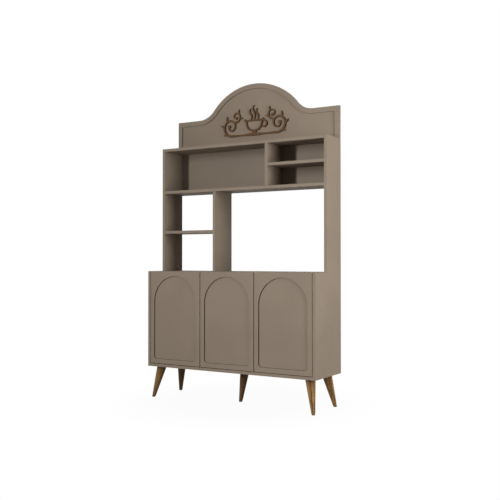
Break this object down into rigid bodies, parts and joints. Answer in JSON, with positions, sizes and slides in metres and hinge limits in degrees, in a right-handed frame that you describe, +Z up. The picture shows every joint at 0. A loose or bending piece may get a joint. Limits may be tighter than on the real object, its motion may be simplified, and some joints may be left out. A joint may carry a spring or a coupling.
{
  "type": "coffee bar cabinet",
  "caption": "Coffee bar cabinet: base with arched flush doors on splayed tapered legs, open hutch with shelves above it, and an arched crest with a fretwork ornament.",
  "frame": {"origin": "on the floor, at the middle of the footprint", "axes": "+X to the right when facing the doors, +Y to the back, +Z up"},
  "size_m": [1.2, 0.345, 2.0169],
  "materials": {
    "taupe_board": "satin taupe foil on board",
    "walnut_leg": "oiled walnut-stained wood",
    "dark_fretwork": "dark stained wood",
    "beech": "plain beech",
    "back_board": "painted hardboard",
    "zinc": "zinc plated",
    "steel": "nickel plated",
    "black_plastic": "matt",
    "grey_plastic": "matt",
    "clear_pad": "soft"
  },
  "bodies": {
    "cabinet": {"base_side_left": "taupe_board", "base_side_right": "taupe_board", "base_bottom": "taupe_board", "base_top": "taupe_board", "base_partition": "taupe_board", "base_shelf_left": "taupe_board", "base_shelf_right": "taupe_board", "hutch_side_left": "taupe_board", "hutch_side_right": "taupe_board", "hutch_top": "taupe_board", "hutch_middle_board": "taupe_board", "hutch_divider_lower": "taupe_board", "hutch_divider_upper": "taupe_board", "hutch_shelf_left": "taupe_board", "hutch_shelf_right": "taupe_board", "crest_panel": "taupe_board", "base_back": "back_board", "hutch_back": "taupe_board", "crest_ornament": "dark_fretwork", "leg_front_left": "walnut_leg", "leg_front_right": "walnut_leg", "leg_back_left": "walnut_leg", "leg_back_right": "walnut_leg", "leg_middle": "walnut_leg", "leg_glides": "black_plastic", "base_dowels": "beech", "hutch_dowels": "beech", "crest_screws": "zinc", "leg_bolts": "zinc", "leg_inserts": "zinc", "base_cams": "zinc", "hutch_cams": "zinc", "hinge_plate_screws": "zinc", "latch_screws": "zinc", "shelf_pins": "steel", "base_cam_bolts": "steel", "hutch_cam_bolts": "steel", "back_panel_pins": "steel", "hinge_arms": "steel", "hinge_plates": "steel", "latch_housings": "grey_plastic"},
    "door_left": {"door_left": "taupe_board", "door_left_cups": "steel", "door_left_cup_screws": "zinc", "door_left_strike": "steel", "door_left_pads": "clear_pad"},
    "plunger_left": {"latch_plunger_left": "black_plastic"},
    "door_middle": {"door_middle": "taupe_board", "door_middle_cups": "steel", "door_middle_cup_screws": "zinc", "door_middle_strike": "steel", "door_middle_pads": "clear_pad"},
    "plunger_middle": {"latch_plunger_middle": "black_plastic"},
    "door_right": {"door_right": "taupe_board", "door_right_cups": "steel", "door_right_cup_screws": "zinc", "door_right_strike": "steel", "door_right_pads": "clear_pad"},
    "plunger_right": {"latch_plunger_right": "black_plastic"}
  },
  "joints": [
    {"name": "door_left_swing", "type": "hinge", "parent": "cabinet", "child": "door_left", "pos_m": [-0.5795, -0.1725, 0.515], "axis": [0, 0, -1], "range_deg": [0, 95]},
    {"name": "door_middle_swing", "type": "hinge", "parent": "cabinet", "child": "door_middle", "pos_m": [-0.192, -0.1725, 0.515], "axis": [0, 0, -1], "range_deg": [0, 95]},
    {"name": "door_right_swing", "type": "hinge", "parent": "cabinet", "child": "door_right", "pos_m": [0.5795, -0.1725, 0.515], "axis": [0, 0, 1], "range_deg": [0, 95]},
    {"name": "plunger_left_slide", "type": "slide", "parent": "cabinet", "child": "plunger_left", "axis": [0, -1, 0], "range_m": [0, 0.01]},
    {"name": "plunger_middle_slide", "type": "slide", "parent": "cabinet", "child": "plunger_middle", "axis": [0, -1, 0], "range_m": [0, 0.01]},
    {"name": "plunger_right_slide", "type": "slide", "parent": "cabinet", "child": "plunger_right", "axis": [0, -1, 0], "range_m": [0, 0.01]}
  ],
  "couplings": [
    {"joint": "plunger_left_slide", "follows": "door_left_swing", "m_per_rad": 0.006},
    {"joint": "plunger_middle_slide", "follows": "door_middle_swing", "m_per_rad": 0.006},
    {"joint": "plunger_right_slide", "follows": "door_right_swing", "m_per_rad": 0.006}
  ]
}
